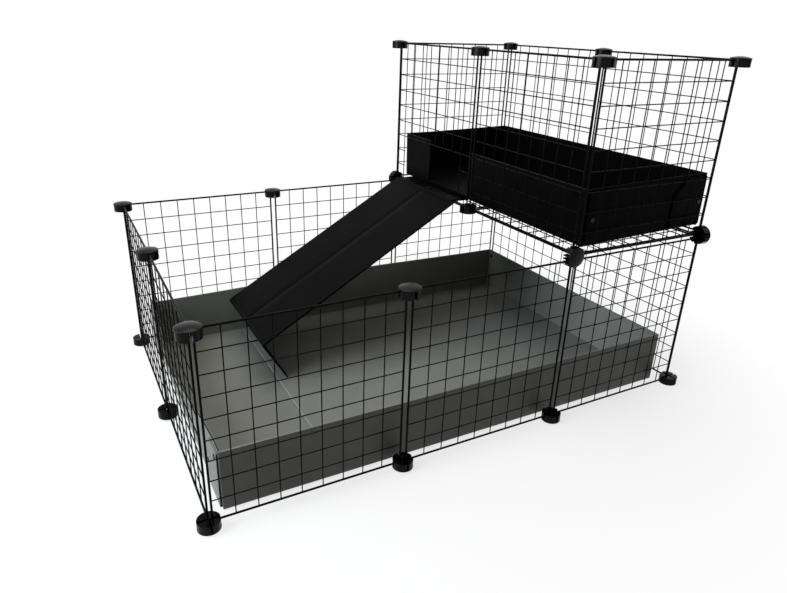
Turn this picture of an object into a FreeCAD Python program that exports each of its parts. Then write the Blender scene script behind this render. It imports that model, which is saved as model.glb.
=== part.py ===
"""Modular pet cage: welded wire panels clipped together by round connectors, two folded trays and a ramp.

The frame is in millimetres with Z up. X runs along the front from left to right, Y from front to back,
and the origin is on the floor under the middle of the base.
"""
import FreeCAD, Part
import math
import os
import Sketcher

from FreeCAD import Placement, Rotation, Vector

# Driving dimensions in millimetres, degrees or plain counts
SIZES = {
    # Wire panels: a square border of thick wire, with a mesh of thin wire welded on it
    "panel_side": 355.0,
    "panel_gap": 13.0,
    "panel_cells": 9,
    "border_radius": 2.0,
    "border_bend": 2.6,
    "mesh_radius": 1.05,
    "mesh_offset": 0.75,
    # Doorway left open in one loft panel, counted in cells
    "door_cells_wide": 7,
    "door_cells_high": 3,
    # Round connectors: a domed cap, and a block of teeth with one or three slots each way
    "cap_radius": 20.4,
    "cap_height": 5.0,
    "cap_dome": 66.0,
    "cap_round": 1.2,
    "cap_inset": 4.0,
    "teeth_radius": 20.1,
    "teeth_height": 15.5,
    "slot_width": 4.6,
    "rim_drop": 8.0,
    # Fluted sheet, and the trays folded from it
    "sheet_thickness": 4.0,
    "tray_wall": 122.0,
    "base_inset_near": 32.0,
    "base_inset_far": 24.0,
    "loft_wall": 115.0,
    "loft_inset_left": 22.0,
    "loft_inset_right": 7.0,
    "loft_inset_front": 10.0,
    "loft_inset_back": 22.0,
    "loft_rise": 17.0,
    "loft_tilt": 1.3,
    "tab_length": 96.0,
    "tab_gap": 0.3,
    "tab_lift": 6.0,
    "tab_drop": 5.0,
    "tab_corner": 40.0,
    "notch_width": 180.0,
    "notch_shift": 52.0,
    "notch_sill": 6.0,
    # Snap rivets through the tray corners
    "rivet_hole": 2.8,
    "rivet_shank": 2.6,
    "rivet_head": 5.0,
    "rivet_head_height": 1.8,
    "rivet_head_round": 1.2,
    "rivet_near": 17.0,
    "rivet_far": 70.0,
    "rivet_high": 18.0,
    "rivet_low": 60.0,
    # Ramp: a deck and a foot folded from one sheet, with a groove down the middle
    "ramp_width": 290.0,
    "ramp_length": 577.0,
    "ramp_slope": 30.0,
    "ramp_floor_gap": 0.3,
    "ramp_reach": 14.0,
    "ramp_crease_gap": 0.4,
    "groove_side": 1.6,
    # Flap that carries the ramp, and the ties that hold it on the doorway's lower wire
    "flap_length": 45.0,
    "flap_width": 264.0,
    "flap_rise": 0.15,
    "tie_spacing": 100.0,
    "tie_width": 3.6,
    "tie_strap": 1.2,
    "tie_half_loop": 6.0,
    "tie_slack": 0.1,
    "tie_hole_length": 2.2,
    "tie_hole_width": 4.4,
    "tie_head": 4.6,
    "tie_head_reach": 3.6,
}

COLUMNS = ("left", "mid_left", "mid_right", "right")
ROWS = ("front", "centre", "back")

doc = FreeCAD.newDocument("pet_cage")
sheet = doc.addObject("Spreadsheet::Sheet", "sizes")
for line, (alias, value) in enumerate(SIZES.items(), start=1):
    sheet.set("A%d" % line, alias)
    sheet.set("B%d" % line, str(value))
    sheet.setAlias("B%d" % line, alias)
worked = doc.addObject("Spreadsheet::Sheet", "worked")
doc.recompute()

# Values worked out from the sheet, for places and loops
mm = {alias: float(sheet.get(alias)) for alias in SIZES}
CELLS = int(mm["panel_cells"])
CELL = mm["panel_side"] / CELLS
PITCH = mm["panel_side"] + mm["panel_gap"]
HALF_SIDE = mm["panel_side"] / 2
FOOT = mm["cap_inset"] + mm["cap_height"]
X_AXIS, Y_AXIS, Z_AXIS = Vector(1, 0, 0), Vector(0, 1, 0), Vector(0, 0, 1)

# Lengths that several pieces share, as expressions on the sheet
PITCH_EXPR = "(sizes.panel_side + sizes.panel_gap)"
GRIP_EXPR = "(2 * sizes.sheet_thickness + sizes.tab_gap)"

pieces = []


def node_point(column, row, level):
    """The point where panels meet, counted from the left, from the front and from the floor."""
    return Vector((column - 1.5) * PITCH, (row - 1) * PITCH, FOOT + level * PITCH)


def keep(obj, label):
    """Names an object as one finished piece of the cage."""
    obj.Label = label
    pieces.append(obj)
    return obj


def placed_copy(master, placement, name):
    """A further solid with the shape of a finished master, at its own place."""
    piece = doc.addObject("Part::Feature", name)
    piece.Shape = master.Shape.Solids[0].copy()
    piece.Placement = placement.multiply(piece.Placement)
    return piece


def bind(obj, **expressions):
    """Binds properties of an object to expressions on the sheet, and returns the object."""
    for name, expression in expressions.items():
        obj.setExpression(name, expression)
    return obj


def box(name, corner, length, width, height):
    """A box whose three sizes are expressions on the sheet."""
    obj = bind(doc.addObject("Part::Box", name), Length=length, Width=width, Height=height)
    obj.Placement.Base = corner
    return obj


def rod(name, start, direction, radius, length):
    """A round rod whose radius and length are expressions on the sheet."""
    obj = bind(doc.addObject("Part::Cylinder", name), Radius=radius, Height=length)
    obj.Placement = Placement(start, Rotation(Z_AXIS, direction))
    return obj


def fuse(name, shapes):
    """Several shapes joined into one."""
    obj = doc.addObject("Part::MultiFuse", name)
    obj.Shapes = shapes
    return obj


def cut(name, base, tools):
    """The base with every tool taken away."""
    obj = doc.addObject("Part::Cut", name)
    obj.Base = base
    obj.Tool = tools[0] if len(tools) == 1 else fuse(name + "_tools", tools)
    return obj


def edge_numbers(shape, wanted):
    """Numbers of the edges that pass a test."""
    return [number for number, edge in enumerate(shape.Edges, start=1) if wanted(edge)]


def sketch_on(body, name, role, height=None):
    """A sketch on one of a body's own origin planes, raised by an expression if one is given."""
    plane = next(feature for feature in body.Origin.OriginFeatures if feature.Role == role)
    sketch = body.newObject("Sketcher::SketchObject", name)
    sketch.AttachmentSupport = [(plane, "")]
    sketch.MapMode = "FlatFace"
    if height:
        sketch.setExpression("AttachmentOffset.Base.z", height)
    return sketch


def value_of(expression):
    """The number that an expression on the sheet gives."""
    worked.set("A1", "=" + expression)
    worked.recompute()
    return float(worked.get("A1"))


def outline(sketch, points):
    """Adds a closed outline of straight lines through points given as pairs of expressions."""
    places = [Vector(value_of(x), value_of(y), 0) for x, y in points]
    lines = [
        sketch.addGeometry(Part.LineSegment(start, end), False)
        for start, end in zip(places, places[1:] + places[:1])
    ]
    for line, following in zip(lines, lines[1:] + lines[:1]):
        sketch.addConstraint(Sketcher.Constraint("Coincident", line, 2, following, 1))
    for line, (x, y) in zip(lines, points):
        for kind, expression in (("DistanceX", x), ("DistanceY", y)):
            number = sketch.addConstraint(Sketcher.Constraint(kind, -1, 1, line, 1, value_of(expression)))
            sketch.setExpression("Constraints[%d]" % number, expression)


def disc(sketch, radius):
    """Adds a circle about the sketch's origin with a radius from an expression."""
    ring = sketch.addGeometry(Part.Circle(Vector(), Z_AXIS, value_of(radius)), False)
    sketch.addConstraint(Sketcher.Constraint("Coincident", ring, 3, -1, 1))
    number = sketch.addConstraint(Sketcher.Constraint("Radius", ring, value_of(radius)))
    sketch.setExpression("Constraints[%d]" % number, radius)


def feature_on(body, kind, name, profile, length, backwards=False, both_ways=False):
    """A pad or pocket of a sketch, with its length from an expression."""
    feature = body.newObject("PartDesign::" + kind, name)
    feature.Profile = profile
    feature.Reversed = backwards
    feature.Midplane = both_ways
    return bind(feature, Length=length)


def panel_border(name):
    """The thick wire of a panel: four straight sides and four tight bends."""
    straight = "sizes.panel_side - 2 * sizes.border_bend"
    inner = HALF_SIDE - mm["border_bend"]
    parts = []
    for quarter in range(4):
        turn = Rotation(Z_AXIS, 90 * quarter)
        start = turn.multVec(Vector(-inner, -HALF_SIDE, 0))
        parts.append(rod(name + "_side", start, turn.multVec(X_AXIS), "sizes.border_radius", straight))
        bend = bind(
            doc.addObject("Part::Torus", name + "_bend"),
            Radius1="sizes.border_bend",
            Radius2="sizes.border_radius",
        )
        bend.Angle3 = 90
        bend.Placement = Placement(turn.multVec(Vector(inner, inner, 0)), turn)
        parts.append(bend)
    return parts


def mesh_wires(name, door_wide, door_high):
    """The thin wires of a panel in two layers, with a doorway of whole cells left out at the bottom."""
    radius = "sizes.mesh_radius"
    cell = "sizes.panel_side / sizes.panel_cells"
    first = (CELLS - door_wide) // 2
    last = first + door_wide
    wires = []
    for count in range(1, CELLS):
        across = -HALF_SIDE + CELL * count
        in_door = first < count < last and door_high > 0
        start = Vector(across, -HALF_SIDE, mm["mesh_offset"])
        length = "sizes.panel_side"
        if in_door:
            start.y += CELL * door_high - mm["mesh_radius"]
            length = "sizes.panel_side - %s * sizes.door_cells_high + sizes.mesh_radius" % cell
        wires.append(rod(name + "_upright", start, Y_AXIS, radius, length))
        start = Vector(-HALF_SIDE, across, -mm["mesh_offset"])
        if count < door_high:
            stub = "%s * (sizes.panel_cells - sizes.door_cells_wide) / 2 + sizes.mesh_radius" % cell
            wires.append(rod(name + "_stub", start, X_AXIS, radius, stub))
            start = Vector(-start.x, start.y, start.z)
            wires.append(rod(name + "_stub", start, X_AXIS * -1, radius, stub))
        else:
            wires.append(rod(name + "_level", start, X_AXIS, radius, "sizes.panel_side"))
    return wires


def wire_panel(name, door_wide=0, door_high=0):
    """One welded panel, flat about the origin with its bottom edge towards -Y."""
    return fuse(name, panel_border(name) + mesh_wires(name, door_wide, door_high))


def cap_profile(sketch):
    """Half the section of a connector's domed cap: a skirt, a soft rim and a large arc up to the axis."""
    radius, soft, dome = mm["cap_radius"], mm["cap_round"], mm["cap_dome"]
    base, top = -mm["cap_inset"], -FOOT
    dome_middle = Vector(0, top + dome, 0)
    rim_drop = ((dome - soft) ** 2 - (radius - soft) ** 2) ** 0.5
    rim_middle = Vector(radius - soft, dome_middle.y - rim_drop, 0)
    meeting = math.atan2(-rim_drop, radius - soft)
    floor, skirt, rim, arch, axis = (
        sketch.addGeometry(curve, False)
        for curve in (
            Part.LineSegment(Vector(0, base, 0), Vector(radius, base, 0)),
            Part.LineSegment(Vector(radius, base, 0), Vector(radius, rim_middle.y, 0)),
            Part.ArcOfCircle(Part.Circle(rim_middle, Z_AXIS, soft), meeting, 0),
            Part.ArcOfCircle(Part.Circle(dome_middle, Z_AXIS, dome), -math.pi / 2, meeting),
            Part.LineSegment(Vector(0, top, 0), Vector(0, base, 0)),
        )
    )
    for kind, *ends in (
        ("Coincident", floor, 2, skirt, 1),
        ("Tangent", skirt, 2, rim, 2),
        ("Tangent", rim, 1, arch, 2),
        ("Coincident", arch, 1, axis, 1),
        ("Coincident", axis, 2, floor, 1),
        ("Horizontal", floor),
        ("Vertical", skirt),
        ("PointOnObject", axis, 1, -2),
        ("PointOnObject", axis, 2, -2),
        ("PointOnObject", arch, 3, -2),
    ):
        sketch.addConstraint(Sketcher.Constraint(kind, *ends))
    for expression, kind, *ends in (
        ("sizes.cap_radius", "DistanceX", -1, 1, floor, 2),
        ("-sizes.cap_inset", "DistanceY", -1, 1, floor, 2),
        ("-sizes.cap_inset - sizes.cap_height", "DistanceY", -1, 1, axis, 1),
        ("sizes.cap_round", "Radius", rim),
        ("sizes.cap_dome", "Radius", arch),
    ):
        number = sketch.addConstraint(Sketcher.Constraint(kind, *ends, value_of(expression)))
        sketch.setExpression("Constraints[%d]" % number, expression)


def connector_master(kind, slot_places):
    """One connector about the point where panels meet, with its cap below and its teeth pointing up."""
    body = doc.addObject("PartDesign::Body", kind)
    base = "-sizes.cap_inset"
    cap_sketch = sketch_on(body, "cap_side", "XZ_Plane")
    cap_profile(cap_sketch)
    cap = body.newObject("PartDesign::Revolution", "cap")
    cap.Profile = cap_sketch
    cap.ReferenceAxis = (cap_sketch, ["V_Axis"])
    cap.Angle = 360
    teeth_sketch = sketch_on(body, "teeth_sketch", "XY_Plane", base)
    disc(teeth_sketch, "sizes.teeth_radius")
    feature_on(body, "Pad", "teeth", teeth_sketch, "sizes.teeth_height")
    half_slot = "sizes.slot_width / 2"
    for name, swap in (("slots_along", False), ("slots_across", True)):
        slots = sketch_on(body, name + "_sketch", "XY_Plane", base)
        for place in slot_places:
            low, high = "%s - %s" % (place, half_slot), "%s + %s" % (place, half_slot)
            reach = "sizes.cap_radius"
            corners = [("-" + reach, low), (reach, low), (reach, high), ("-" + reach, high)]
            outline(slots, [(y, x) for x, y in corners] if swap else corners)
        feature_on(body, "Pocket", name, slots, "sizes.teeth_height", backwards=True)
    return body


def corner_tab(name, length, width, wall, side, end):
    """A tab that a long wall folds round the tray's corner, lying on the outside of the short wall."""
    thick, gap = mm["sheet_thickness"], mm["tab_gap"]
    height = wall + " - sizes.tab_lift - sizes.tab_drop"
    inner = value_of(length) / 2
    outer = inner + gap + thick
    left = -outer if side < 0 else inner + gap
    front = -value_of(width) / 2 if end < 0 else value_of(width) / 2 - mm["tab_length"]
    corner = Vector(left, front, mm["tab_lift"])
    plate = box(name, corner, "sizes.sheet_thickness", "sizes.tab_length", height)
    doc.recompute()
    top = value_of(wall) - mm["tab_drop"]
    free_end = front + (mm["tab_length"] if end < 0 else 0)
    tip = edge_numbers(
        plate.Shape,
        lambda edge: abs(edge.CenterOfMass.z - top) < 0.01 and abs(edge.CenterOfMass.y - free_end) < 0.01,
    )
    trimmed = doc.addObject("Part::Chamfer", name + "_trimmed")
    trimmed.Base = plate
    trimmed.Edges = [(number, mm["tab_corner"], mm["tab_corner"]) for number in tip]
    fold_left = -outer if side < 0 else inner
    fold_front = front if end < 0 else front + mm["tab_length"] - thick
    fold = box(
        name + "_fold",
        Vector(fold_left, fold_front, mm["tab_lift"]),
        "sizes.sheet_thickness + sizes.tab_gap",
        "sizes.sheet_thickness",
        height,
    )
    return [trimmed, fold]


def rivet_places(length, width, wall, spots):
    """Outer ends of the rivets in a tray's short walls, each with the way that it faces."""
    face = value_of(length) / 2 + mm["tab_gap"] + mm["sheet_thickness"]
    half, top = value_of(width) / 2, value_of(wall)
    return [
        (Vector(side * face, end * (half - mm[along]), top - mm[down]), X_AXIS * side)
        for side in (-1, 1)
        for end in (-1, 1)
        for along, down in spots
    ]


def folded_tray(name, length, width, wall, spots, notch=None):
    """An open tray of fluted sheet about the origin, with riveted corner tabs and an optional notch."""
    half = Vector(value_of(length) / 2, value_of(width) / 2, 0)
    thick = mm["sheet_thickness"]
    shell = box(name + "_outside", half * -1, length, width, wall)
    inside = box(
        name + "_inside",
        Vector(thick - half.x, thick - half.y, thick),
        length + " - 2 * sizes.sheet_thickness",
        width + " - 2 * sizes.sheet_thickness",
        wall,
    )
    tabs = []
    for side in (-1, 1):
        for end in (-1, 1):
            tabs += corner_tab(name + "_tab", length, width, wall, side, end)
    holes = [
        rod(name + "_hole", place + facing, facing * -1, "sizes.rivet_hole", GRIP_EXPR + " + 2")
        for place, facing in rivet_places(length, width, wall, spots)
    ]
    folded = fuse(name + "_folded", [cut(name + "_open", shell, [inside])] + tabs)
    return cut(name, folded, holes + ([notch] if notch else []))


def rivet_master():
    """One snap rivet along Z, with its outer head above the origin and its inner head below the grip."""
    body = doc.addObject("PartDesign::Body", "rivet")
    head = "sizes.rivet_head_height"
    for name, radius, height, length in (
        ("outer_head", "sizes.rivet_head", "0 * sizes.rivet_head", head),
        ("shank", "sizes.rivet_shank", "-" + GRIP_EXPR, GRIP_EXPR),
        ("inner_head", "sizes.rivet_head", "-%s - %s" % (GRIP_EXPR, head), head),
    ):
        sketch = sketch_on(body, name + "_sketch", "XY_Plane", height)
        disc(sketch, radius)
        feature_on(body, "Pad", name, sketch, length)
    doc.recompute()
    ends = (value_of(head), -value_of(GRIP_EXPR) - value_of(head))
    rims = edge_numbers(
        body.Shape,
        lambda edge: edge.BoundBox.ZLength < 0.01 and min(abs(edge.BoundBox.ZMax - z) for z in ends) < 0.01,
    )
    tip = body.Tip
    rounded = body.newObject("PartDesign::Fillet", "heads_rounded")
    rounded.Base = (tip, ["Edge%d" % number for number in rims])
    bind(rounded, Radius="sizes.rivet_head_round")
    return body


def rivet_group(label, master, places, placement):
    """All the rivets of one tray as a group of separate solids."""
    rivets = []
    for place, facing in places:
        turned = Placement(place, Rotation(Z_AXIS, facing))
        rivets.append(placed_copy(master, placement.multiply(turned), label + "_rivet"))
    group = doc.addObject("Part::Compound", label)
    group.Links = rivets
    return keep(group, label)


def ramp_deck():
    """The ramp's deck and foot about the crease, with a groove down the middle of the deck."""
    body = doc.addObject("PartDesign::Body", "ramp_sheet")
    rise, run = "sin(sizes.ramp_slope)", "cos(sizes.ramp_slope)"
    thick = "sizes.sheet_thickness"
    toe_x, toe_z = "-sizes.ramp_length * " + run, "-sizes.ramp_length * " + rise
    floor = (
        "-(sizes.cap_inset + sizes.cap_height + sizes.panel_side + 1.5 * sizes.panel_gap"
        " + sizes.border_radius + sizes.flap_rise - sizes.ramp_floor_gap)"
    )
    outer_drop = "(%s - %s) / %s" % (toe_z, floor, run)
    inner_drop = "(%s + %s * %s - %s) / %s" % (toe_z, thick, rise, floor, run)
    fold_x = "%s + %s * (%s + %s)" % (toe_x, thick, run, rise)
    fold_z = "%s + %s * (%s - %s)" % (toe_z, thick, rise, run)
    end = "-sizes.ramp_crease_gap"
    side = sketch_on(body, "ramp_side", "XZ_Plane")
    outline(side, [
        (end, "%s * %s / %s" % (end, rise, run)),
        (toe_x, toe_z),
        ("%s + %s * %s" % (toe_x, outer_drop, rise), floor),
        ("%s + %s * %s + %s * %s" % (toe_x, thick, run, inner_drop, rise), floor),
        (fold_x, fold_z),
        (end, "(%s * %s - %s) / %s" % (end, rise, thick, run)),
    ])
    feature_on(body, "Pad", "ramp_pad", side, "sizes.ramp_width", both_ways=True)
    groove = box("ramp_groove", Vector(), "sizes.ramp_length", "sizes.groove_side", "sizes.groove_side")
    down_slope = Rotation(Y_AXIS, 180 - mm["ramp_slope"])
    half_diagonal = mm["groove_side"] / 2 ** 0.5
    groove.Placement = Placement(Vector(0, 0, half_diagonal), down_slope.multiply(Rotation(X_AXIS, 45)))
    return cut("ramp", body, [groove])


def hinge_flap():
    """The flap beside the crease that lies on the doorway's lower wire, with a pair of holes for each tie."""
    corner = Vector(0, -mm["flap_width"] / 2, -mm["sheet_thickness"])
    plate = box("flap_plate", corner, "sizes.flap_length", "sizes.flap_width", "sizes.sheet_thickness")
    holes = []
    for count in (-1, 0, 1):
        for side in (-1, 1):
            middle = mm["ramp_reach"] + side * mm["tie_half_loop"]
            low = Vector(
                middle - mm["tie_hole_length"] / 2,
                count * mm["tie_spacing"] - mm["tie_hole_width"] / 2,
                corner.z,
            )
            sides = ("sizes.tie_hole_length", "sizes.tie_hole_width", "sizes.sheet_thickness")
            holes.append(box("flap_hole", low, *sides))
    return cut("flap", plate, holes)


def tie_master():
    """One tie: a strap looped round the flap and the wire, about the wire's middle, with its lock head."""
    body = doc.addObject("PartDesign::Body", "tie")
    side = sketch_on(body, "tie_side", "XZ_Plane")
    top = "(sizes.border_radius + sizes.flap_rise + sizes.sheet_thickness + sizes.tie_slack)"
    bottom = "-(sizes.border_radius + sizes.tie_slack)"
    half, strap = "sizes.tie_half_loop", "sizes.tie_strap"
    wide_in, wide_out = "(%s - %s / 2)" % (half, strap), "(%s + %s / 2)" % (half, strap)
    for wide, high, low in (
        (wide_out, "%s + %s" % (top, strap), "%s - %s" % (bottom, strap)),
        (wide_in, top, bottom),
    ):
        outline(side, [("-" + wide, low), (wide, low), (wide, high), ("-" + wide, high)])
    feature_on(body, "Pad", "tie_loop", side, "sizes.tie_width", both_ways=True)
    head = sketch_on(body, "tie_head_side", "XZ_Plane")
    left, right = "-%s - sizes.tie_head_reach" % wide_out, "-" + wide_in
    low = "%s - %s" % (bottom, strap)
    high = low + " + sizes.tie_head"
    outline(head, [(left, low), (right, low), (right, high), (left, high)])
    feature_on(body, "Pad", "tie_lock", head, "sizes.tie_head", both_ways=True)
    return body


def place_panels(plain, doorway):
    """Stands every wall panel between its two meeting points and lays the loft's floor panels."""
    upright = Rotation(X_AXIS, 90)
    facing = {"front": 0, "right": 90, "back": 180, "left": -90}
    runs = {"front": (1, 0), "back": (1, 0), "left": (0, 1), "right": (0, 1)}
    thirds, halves = ("left", "middle", "right"), ("front", "back")
    walls = []
    for wall, row in (("front", 0), ("back", 2)):
        walls += [("%s_panel_%s" % (wall, thirds[column]), wall, column, row, 0) for column in range(3)]
        walls.append(("loft_%s_panel" % wall, wall, 2, row, 1))
    for row in range(2):
        walls.append(("left_panel_" + halves[row], "left", 0, row, 0))
        walls.append(("right_panel_" + halves[row], "right", 3, row, 0))
        walls.append(("loft_right_panel_" + halves[row], "right", 3, row, 1))
    walls.append(("loft_left_panel", "left", 2, 0, 1))
    walls.append(("loft_doorway_panel", "left", 2, 1, 1))
    for label, wall, column, row, level in walls:
        along_x, along_y = runs[wall]
        middle = node_point(column + along_x / 2, row + along_y / 2, level + 0.5)
        turned = Rotation(Z_AXIS, facing[wall]).multiply(upright)
        master = doorway if label == "loft_doorway_panel" else plain
        keep(placed_copy(master, Placement(middle, turned), label), label)
    for row in range(2):
        label = "loft_floor_panel_" + halves[row]
        middle = node_point(2.5, row + 0.5, 1)
        keep(placed_copy(plain, Placement(middle, Rotation()), label), label)


def place_connectors(cup, comb):
    """Puts a cup at each foot, rim and top, and a comb where the loft's floor joins, facing their panels."""
    turns = {
        "up": Rotation(),
        "down": Rotation(X_AXIS, 180),
        "back": Rotation(X_AXIS, -90),
        "front": Rotation(X_AXIS, 90),
        "left": Rotation(Y_AXIS, -90),
    }
    at_loft = {(2, 0): "back", (2, 1): "up", (2, 2): "front", (3, 0): "left", (3, 1): "left", (3, 2): "left"}
    around = [(column, row) for column in range(4) for row in range(3) if column in (0, 3) or row != 1]
    spots = [("foot", place, 0, "up") for place in around]
    spots += [("middle", place, 1, at_loft.get(place, "down")) for place in around + [(2, 1)]]
    spots += [("top", place, 2, "down") for place in at_loft]
    for level_name, (column, row), level, teeth in spots:
        label = "%s_connector_%s_%s" % (level_name, ROWS[row], COLUMNS[column])
        # A connector pushed down on a rim sits lower, with the panels' top wires just under its cap
        drop = mm["rim_drop"] if teeth == "down" else 0
        placement = Placement(node_point(column, row, level) - Z_AXIS * drop, turns[teeth])
        master = comb if level == 1 and (column, row) in at_loft else cup
        keep(placed_copy(master, placement, label), label)


# Wire panels and connectors
plain_panel = wire_panel("welded_panel")
door_panel = wire_panel("welded_door_panel", int(mm["door_cells_wide"]), int(mm["door_cells_high"]))
middle_slot = "0 * sizes.panel_gap"
cup_connector = connector_master("cup_connector", [middle_slot])
comb_connector = connector_master(
    "comb_connector", ["-sizes.panel_gap / 2", middle_slot, "sizes.panel_gap / 2"]
)
doc.recompute()
place_panels(plain_panel, door_panel)
place_connectors(cup_connector, comb_connector)

# Base tray, pushed towards the front left, with two rivets in each corner
base_length = "(3 * %s - sizes.base_inset_near - sizes.base_inset_far)" % PITCH_EXPR
base_width = "(2 * %s - sizes.base_inset_near - sizes.base_inset_far)" % PITCH_EXPR
base_spots = (("rivet_near", "rivet_high"), ("rivet_far", "rivet_low"))
base_sheet = folded_tray("base_sheet", base_length, base_width, "sizes.tray_wall", base_spots)
base_tray = keep(base_sheet, "base_tray")
base_shift = (mm["base_inset_near"] - mm["base_inset_far"]) / 2
base_place = Placement(Vector(base_shift, base_shift, 0), Rotation())
base_tray.Placement = base_place

# Loft tray, its long side from front to back, with a notch at the doorway: its left edge is on the ramp's
# flap and its right edge on the connectors, a little higher
loft_length = "(2 * %s - sizes.loft_inset_front - sizes.loft_inset_back)" % PITCH_EXPR
loft_width = "(%s - sizes.loft_inset_left - sizes.loft_inset_right)" % PITCH_EXPR
loft_spots = (("rivet_near", "rivet_low"),)
loft_shift = Vector(
    (mm["loft_inset_left"] - mm["loft_inset_right"]) / 2,
    (mm["loft_inset_front"] - mm["loft_inset_back"]) / 2,
    mm["loft_rise"],
)
notch_corner = Vector(
    PITCH / 2 - mm["notch_shift"] - loft_shift.y - mm["notch_width"] / 2,
    value_of(loft_width) / 2 - 2 * mm["sheet_thickness"],
    mm["sheet_thickness"] + mm["notch_sill"],
)
notch_depth = "3 * sizes.sheet_thickness"
door_notch = box("door_notch", notch_corner, "sizes.notch_width", notch_depth, "sizes.loft_wall")
loft_sheet = folded_tray("loft_sheet", loft_length, loft_width, "sizes.loft_wall", loft_spots, door_notch)
loft_tray = keep(loft_sheet, "loft_tray")
loft_turn = Rotation(Y_AXIS, -mm["loft_tilt"]).multiply(Rotation(Z_AXIS, 90))
loft_place = Placement(node_point(2.5, 1, 1) + loft_shift, loft_turn)
loft_tray.Placement = loft_place

# Rivets of both trays
rivet = rivet_master()
doc.recompute()
base_rivets = rivet_places(base_length, base_width, "sizes.tray_wall", base_spots)
loft_rivets = rivet_places(loft_length, loft_width, "sizes.loft_wall", loft_spots)
rivet_group("base_tray_rivets", rivet, base_rivets, base_place)
rivet_group("loft_tray_rivets", rivet, loft_rivets, loft_place)

# Ramp, its flap and the ties, set from the doorway's lower wire
door_wire = node_point(2, 1.5, 1) + Z_AXIS * (mm["panel_gap"] / 2)
flap_top = mm["border_radius"] + mm["flap_rise"] + mm["sheet_thickness"]
crease = door_wire + Vector(-mm["ramp_reach"], 0, flap_top)
for obj, label in ((ramp_deck(), "ramp"), (hinge_flap(), "ramp_hinge_flap")):
    keep(obj, label).Placement.Base = crease
tie = tie_master()
doc.recompute()
ties = []
for count in (-1, 0, 1):
    place = Placement(door_wire + Y_AXIS * (count * mm["tie_spacing"]), Rotation())
    ties.append(placed_copy(tie, place, "ramp_tie"))
tie_group = doc.addObject("Part::Compound", "ramp_ties")
tie_group.Links = ties
keep(tie_group, "ramp_ties")
doc.recompute()

# Every object must be sound before anything is written
for obj in doc.Objects:
    if "Invalid" in obj.State or "Error" in obj.State:
        raise RuntimeError("failed object: %s %s" % (obj.Name, obj.State))
os.makedirs("parts", exist_ok=True)
for obj in pieces:
    if obj.Shape.isNull() or not obj.Shape.isValid():
        raise RuntimeError("unsound shape: " + obj.Label)
for obj in pieces:
    obj.Shape.exportStep("parts/%s.step" % obj.Label)
    print("%-36s solids %2d  volume %10.0f mm3" % (obj.Label, len(obj.Shape.Solids), obj.Shape.Volume))
print("pieces:", len(pieces))
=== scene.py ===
"""Dresses a modular pet cage of wire panels, round connectors, folded trays and a ramp.

Every length is in metres in the cage's own frame: X along the front, Y to the back, Z up from the floor.
"""

import logging
import math
from dataclasses import dataclass, field
from enum import Enum
from typing import Sequence

import bmesh
import bpy
import numpy as np
from bpy.types import ID, Material, Node, NodeSocket, Object, World
from mathutils import Matrix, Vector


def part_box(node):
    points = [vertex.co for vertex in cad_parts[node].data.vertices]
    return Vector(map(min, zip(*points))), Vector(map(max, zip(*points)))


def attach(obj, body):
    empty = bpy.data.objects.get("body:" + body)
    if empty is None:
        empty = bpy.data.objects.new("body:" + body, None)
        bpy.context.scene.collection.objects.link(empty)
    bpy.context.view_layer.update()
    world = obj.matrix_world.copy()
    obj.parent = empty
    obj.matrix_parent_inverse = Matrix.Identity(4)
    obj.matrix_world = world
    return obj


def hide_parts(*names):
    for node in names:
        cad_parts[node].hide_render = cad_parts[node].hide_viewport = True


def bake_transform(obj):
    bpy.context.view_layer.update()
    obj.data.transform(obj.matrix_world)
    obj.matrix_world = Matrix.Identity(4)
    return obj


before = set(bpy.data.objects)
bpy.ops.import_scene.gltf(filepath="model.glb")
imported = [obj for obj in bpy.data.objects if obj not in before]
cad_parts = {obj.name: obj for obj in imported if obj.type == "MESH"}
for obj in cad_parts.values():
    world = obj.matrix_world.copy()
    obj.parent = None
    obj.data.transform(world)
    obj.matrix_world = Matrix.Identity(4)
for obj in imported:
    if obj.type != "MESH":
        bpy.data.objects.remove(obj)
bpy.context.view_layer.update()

log = logging.getLogger("pet_cage")

MM = 0.001
PHOTO_WIDTH = 787
PANEL_SIDE = 355 * MM
PANEL_GAP = 13 * MM
PANEL_CELLS = 9
PITCH = PANEL_SIDE + PANEL_GAP
SHEET = 4 * MM
MERGE = 0.005 * MM
TINY = 1e-9
WHITE = (1.0, 1.0, 1.0, 1.0)

Triple = tuple[float, float, float]


class FluteEdge(Enum):
    """How the edge of a fluted sheet was cut: along a flute, or across the flutes so that they show open."""

    CLOSED = "closed"
    OPEN = "open"


class Side(Enum):
    """The two ends of a row of points on a sheet."""

    FIRST = 0
    LAST = -1


def linear(hex_colour: str) -> tuple[float, float, float, float]:
    """Turns an sRGB hex colour into linear RGBA.

    Args:
        hex_colour: six hex digits, with or without a leading hash.

    Returns:
        Linear red, green and blue, and an alpha of one.
    """
    digits = hex_colour.lstrip("#")
    parts = np.array([int(digits[i:i + 2], 16) for i in (0, 2, 4)]) / 255
    values = np.where(parts <= 0.04045, parts / 12.92, ((parts + 0.055) / 1.055) ** 2.4)
    return (float(values[0]), float(values[1]), float(values[2]), 1.0)


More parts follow.
